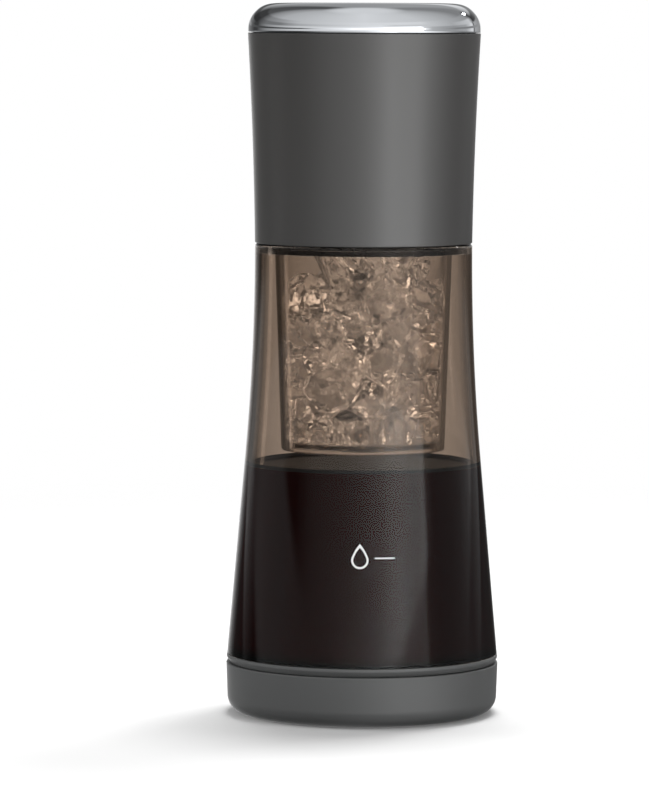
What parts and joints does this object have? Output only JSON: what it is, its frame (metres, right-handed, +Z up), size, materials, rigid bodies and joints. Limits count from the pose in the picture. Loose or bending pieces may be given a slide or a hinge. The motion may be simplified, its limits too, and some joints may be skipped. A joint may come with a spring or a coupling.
{
  "type": "cold brew coffee maker",
  "caption": "Tall cold brew tower: bright turning cap, grey brew head with a filter basket and drain valve, ice tube, smoky see-through carafe and weighted grey base.",
  "frame": {"origin": "centre of the foot ring's lower face, on the surface that the maker stands on", "axes": "+Z up along the tower's axis; the front, with the printed fill mark, faces -Y; +X to the right as seen from the front"},
  "size_m": [0.1194, 0.1194, 0.312],
  "materials": {
    "grey_matte": "fine matte moulded grey",
    "grey_satin": "satin painted grey with broad soft highlights",
    "smoky_clear": "smoky brown see-through, glossy",
    "clear": "clear, glossy",
    "black_silicone": "soft, slightly glossy black",
    "dark_plastic": "dark grey food-grade plastic",
    "chrome": "bright mirror plating",
    "steel": "plain stainless steel",
    "steel_mesh": "fine woven stainless mesh",
    "foot_rubber": "matte non-slip rubber"
  },
  "bodies": {
    "carafe": {"base_cup": "grey_matte", "foot_ring": "foot_rubber", "base_weight": "steel", "base_screw_1": "steel", "base_screw_2": "steel", "base_screw_3": "steel", "base_collar": "grey_matte", "carafe": "smoky_clear"},
    "ice_chamber": {"tube_hanger": "black_silicone", "ice_tube": "clear", "ice_strainer": "clear"},
    "head": {"head_shell": "grey_satin", "brew_chamber": "dark_plastic", "head_seal": "black_silicone", "drip_plate": "dark_plastic", "valve_seat": "black_silicone"},
    "valve": {"valve_disc": "dark_plastic"},
    "basket": {"basket_frame": "dark_plastic", "basket_side_mesh": "steel_mesh", "basket_floor_mesh": "steel_mesh"},
    "lid": {"lid_plug": "dark_plastic", "lid_seal": "black_silicone", "shaft_ring": "black_silicone"},
    "knob": {"bright_cap": "chrome", "knob_hub": "dark_plastic", "hub_clip": "steel", "drive_shaft": "steel", "shaft_screw": "steel"}
  },
  "joints": [
    {"name": "head_lift", "type": "slide", "parent": "carafe", "child": "head", "axis": [0, 0, 1], "range_m": [0, 0.14]},
    {"name": "ice_lift", "type": "slide", "parent": "carafe", "child": "ice_chamber", "axis": [0, 0, 1], "range_m": [0, 0.098]},
    {"name": "lid_lift", "type": "slide", "parent": "head", "child": "lid", "axis": [0, 0, 1], "range_m": [0, 0.16]},
    {"name": "basket_lift", "type": "slide", "parent": "head", "child": "basket", "axis": [0, 0, 1], "range_m": [0, 0.08]},
    {"name": "cap_turn", "type": "hinge", "parent": "lid", "child": "knob", "pos_m": [0, 0, 0.2989], "axis": [0, 0, 1], "range_deg": [0, 60]},
    {"name": "valve_turn", "type": "hinge", "parent": "head", "child": "valve", "pos_m": [0, 0, 0.2171], "axis": [0, 0, 1], "range_deg": [0, 60]}
  ],
  "couplings": [
    {"joint": "ice_lift", "follows": "head_lift", "ratio": 0.7},
    {"joint": "basket_lift", "follows": "lid_lift", "ratio": 0.5},
    {"joint": "valve_turn", "follows": "cap_turn", "ratio": 1}
  ]
}
